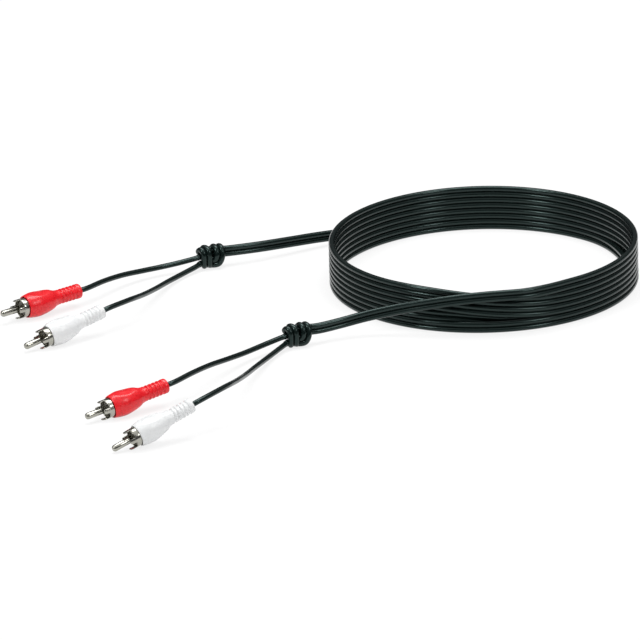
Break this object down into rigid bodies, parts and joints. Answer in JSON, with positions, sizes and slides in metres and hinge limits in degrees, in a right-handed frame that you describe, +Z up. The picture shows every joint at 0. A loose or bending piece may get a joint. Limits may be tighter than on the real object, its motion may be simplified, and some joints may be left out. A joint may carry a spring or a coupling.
{
  "type": "rca audio cable",
  "caption": "Stereo audio lead: a twin cord wound into a round coil and knotted near its ends, where it parts into legs with red and white moulded phono plugs.",
  "frame": {"origin": "on the surface that the lead lies on, under the middle of its bounding box", "axes": "+Z up, along the coil's axis; +X from the plugs towards the coil; +Y towards the end named back"},
  "size_m": [0.3028, 0.2986, 0.0219],
  "materials": {
    "cord_jacket": "satin-gloss black soft vinyl",
    "red_boot": "glossy moulded red vinyl",
    "white_boot": "glossy moulded white vinyl",
    "nickel_plate": "bright nickel plate on brass",
    "pin_insulator": "grey nylon",
    "core_insulation": "natural polyethylene",
    "copper": "bare copper strands"
  },
  "bodies": {
    "root": {"coil": "cord_jacket", "back_lead": "cord_jacket", "front_lead": "cord_jacket", "back_knot": "cord_jacket", "front_knot": "cord_jacket", "back_red_leg": "cord_jacket", "back_white_leg": "cord_jacket", "front_red_leg": "cord_jacket", "front_white_leg": "cord_jacket", "back_red_boot": "red_boot", "front_red_boot": "red_boot", "back_white_boot": "white_boot", "front_white_boot": "white_boot", "back_red_ground_shell": "nickel_plate", "back_white_ground_shell": "nickel_plate", "front_red_ground_shell": "nickel_plate", "front_white_ground_shell": "nickel_plate", "back_red_centre_pin": "nickel_plate", "back_white_centre_pin": "nickel_plate", "front_red_centre_pin": "nickel_plate", "front_white_centre_pin": "nickel_plate", "back_red_insulator": "pin_insulator", "back_white_insulator": "pin_insulator", "front_red_insulator": "pin_insulator", "front_white_insulator": "pin_insulator", "back_red_core_insulation": "core_insulation", "back_white_core_insulation": "core_insulation", "front_red_core_insulation": "core_insulation", "front_white_core_insulation": "core_insulation", "back_red_conductor": "copper", "back_white_conductor": "copper", "front_red_conductor": "copper", "front_white_conductor": "copper", "back_red_braid_tail": "copper", "back_white_braid_tail": "copper", "front_red_braid_tail": "copper", "front_white_braid_tail": "copper"}
  },
  "joints": []
}
